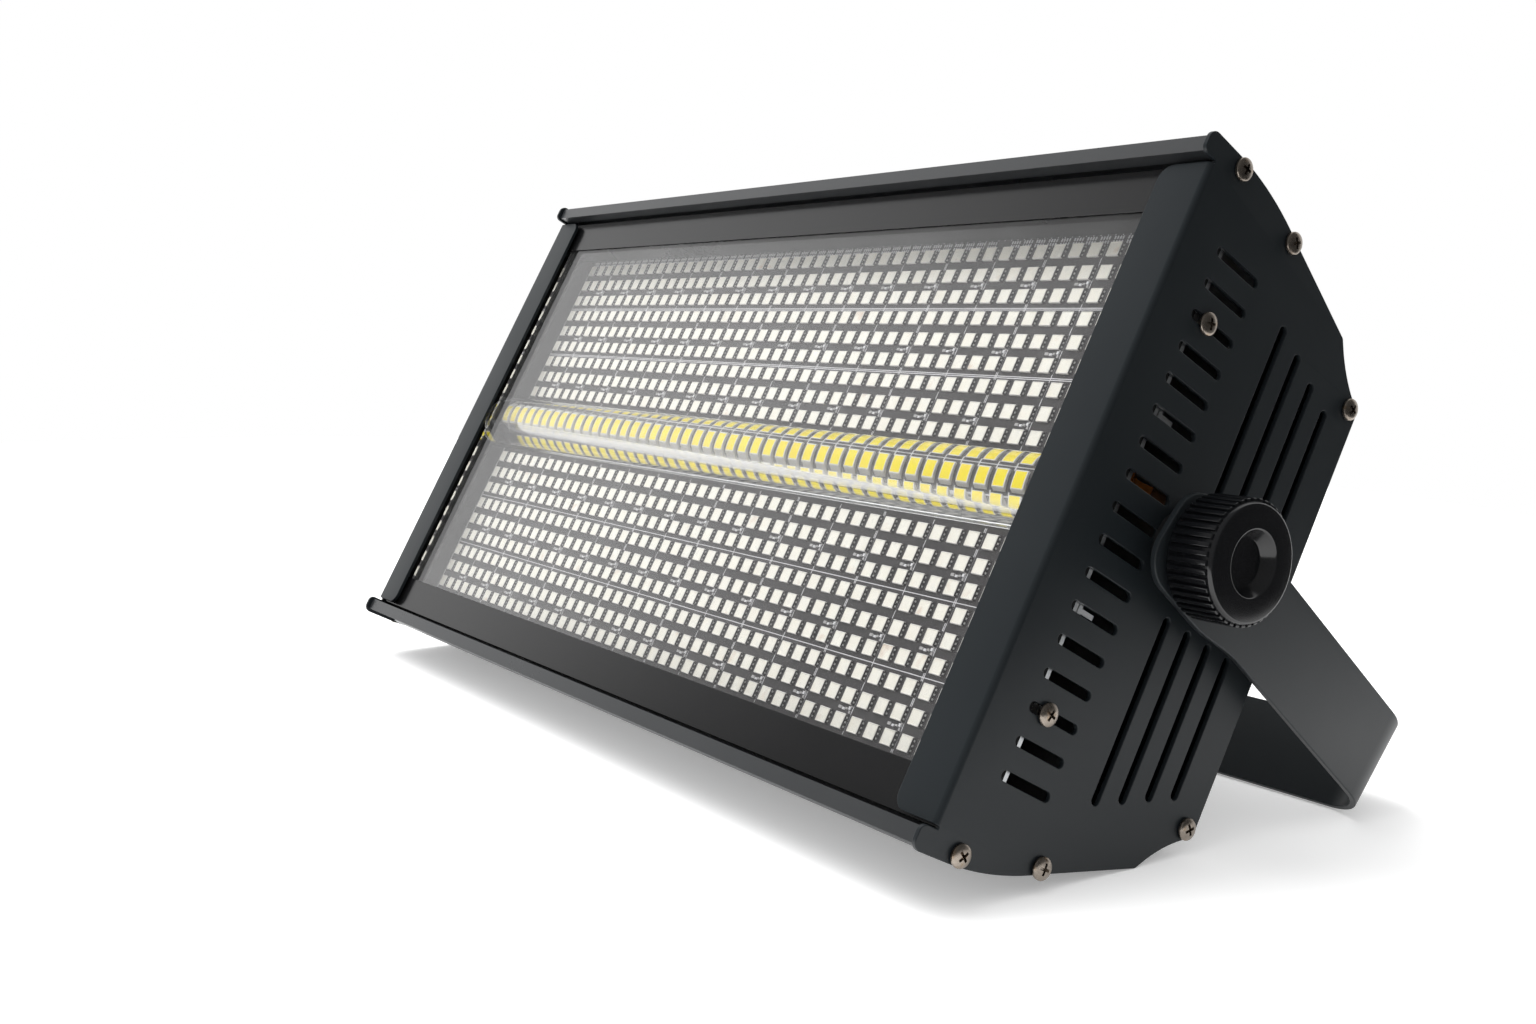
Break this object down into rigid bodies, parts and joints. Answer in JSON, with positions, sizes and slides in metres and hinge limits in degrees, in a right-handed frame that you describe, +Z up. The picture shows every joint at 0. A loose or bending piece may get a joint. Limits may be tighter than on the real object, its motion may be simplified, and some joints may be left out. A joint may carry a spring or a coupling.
{
  "type": "strobe light",
  "caption": "Flat strobe and wash light: a slotted metal head with an LED panel and a solid lens bar behind glass, tilting in a U bracket that ribbed knobs clamp.",
  "frame": {"origin": "middle of the floor under the light as it lies, at the bottom centre of its box", "axes": "+X to the right end plate as one faces the window, +Y towards the bracket's bar, +Z up; the window faces -Y and up"},
  "size_m": [0.4516, 0.201, 0.2095],
  "materials": {
    "black_paint": "satin powder coat",
    "strap_paint": "satin powder coat",
    "window_glass": "clear, polished",
    "clear_acrylic": "clear, polished",
    "lamp_white": "matt",
    "dark_circuit_board": "satin solder resist",
    "green_circuit_board": "satin solder resist",
    "bare_aluminium": "mill finish",
    "zinc_steel": "zinc plated",
    "nickel": "nickel plated",
    "black_plastic": "satin",
    "knob_plastic": "semi gloss",
    "fan_plastic": "matt"
  },
  "bodies": {
    "head": {"left_end_plate": "black_paint", "right_end_plate": "black_paint", "top_cover": "black_paint", "bottom_cover": "black_paint", "rear_panel": "black_paint", "upper_window_strip": "black_paint", "lower_window_strip": "black_paint", "window_glass": "window_glass", "lens_bar": "clear_acrylic", "strobe_lamp_strip": "lamp_white", "led_board": "dark_circuit_board", "upper_board_rail": "bare_aluminium", "lower_board_rail": "bare_aluminium", "heat_sink": "bare_aluminium", "left_top_board_block": "bare_aluminium", "left_bottom_board_block": "bare_aluminium", "right_top_board_block": "bare_aluminium", "right_bottom_board_block": "bare_aluminium", "chassis_plate": "bare_aluminium", "power_supply": "zinc_steel", "driver_board": "green_circuit_board", "control_board": "green_circuit_board", "display_module": "black_plastic", "dmx_in_socket": "black_plastic", "dmx_out_socket": "black_plastic", "power_inlet": "black_plastic", "power_outlet": "black_plastic", "left_fan_frame": "fan_plastic", "right_fan_frame": "fan_plastic", "left_pivot_spacer": "fan_plastic", "right_pivot_spacer": "fan_plastic", "left_pivot_bolt": "zinc_steel", "right_pivot_bolt": "zinc_steel", "left_top_front_screw": "nickel", "left_top_middle_screw": "nickel", "left_top_rear_screw": "nickel", "left_top_slot_screw": "nickel", "left_bottom_front_screw": "nickel", "left_bottom_middle_screw": "nickel", "left_bottom_rear_screw": "nickel", "left_bottom_slot_screw": "nickel", "right_top_front_screw": "nickel", "right_top_middle_screw": "nickel", "right_top_rear_screw": "nickel", "right_top_slot_screw": "nickel", "right_bottom_front_screw": "nickel", "right_bottom_middle_screw": "nickel", "right_bottom_rear_screw": "nickel", "right_bottom_slot_screw": "nickel"},
    "yoke": {"yoke_bracket": "strap_paint"},
    "knob_left": {"left_knob": "knob_plastic"},
    "knob_right": {"right_knob": "knob_plastic"},
    "fan_left": {"left_fan_rotor": "fan_plastic"},
    "fan_right": {"right_fan_rotor": "fan_plastic"},
    "button_menu": {"menu_button": "black_plastic"},
    "button_down": {"down_button": "black_plastic"},
    "button_up": {"up_button": "black_plastic"},
    "button_enter": {"enter_button": "black_plastic"}
  },
  "joints": [
    {"name": "yoke_tilt", "type": "hinge", "parent": "head", "child": "yoke", "pos_m": [0, -0.00441, 0.0908], "axis": [1, 0, 0], "continuous": true},
    {"name": "left_knob_turn", "type": "hinge", "parent": "head", "child": "knob_left", "pos_m": [0, -0.00441, 0.0908], "axis": [1, 0, 0], "continuous": true},
    {"name": "right_knob_turn", "type": "hinge", "parent": "head", "child": "knob_right", "pos_m": [0, -0.00441, 0.0908], "axis": [1, 0, 0], "continuous": true},
    {"name": "left_fan_spin", "type": "hinge", "parent": "head", "child": "fan_left", "pos_m": [-0.12, 0.02854, 0.0729], "axis": [0, 0.8786, -0.4775], "continuous": true},
    {"name": "right_fan_spin", "type": "hinge", "parent": "head", "child": "fan_right", "pos_m": [0.12, 0.02854, 0.0729], "axis": [0, 0.8786, -0.4775], "continuous": true},
    {"name": "menu_press", "type": "slide", "parent": "head", "child": "button_menu", "axis": [0, -0.8786, 0.4775], "range_m": [0, 0.001], "stiffness_N_per_m": 800, "springref_m": -0.0006},
    {"name": "down_press", "type": "slide", "parent": "head", "child": "button_down", "axis": [0, -0.8786, 0.4775], "range_m": [0, 0.001], "stiffness_N_per_m": 800, "springref_m": -0.0006},
    {"name": "up_press", "type": "slide", "parent": "head", "child": "button_up", "axis": [0, -0.8786, 0.4775], "range_m": [0, 0.001], "stiffness_N_per_m": 800, "springref_m": -0.0006},
    {"name": "enter_press", "type": "slide", "parent": "head", "child": "button_enter", "axis": [0, -0.8786, 0.4775], "range_m": [0, 0.001], "stiffness_N_per_m": 800, "springref_m": -0.0006}
  ]
}
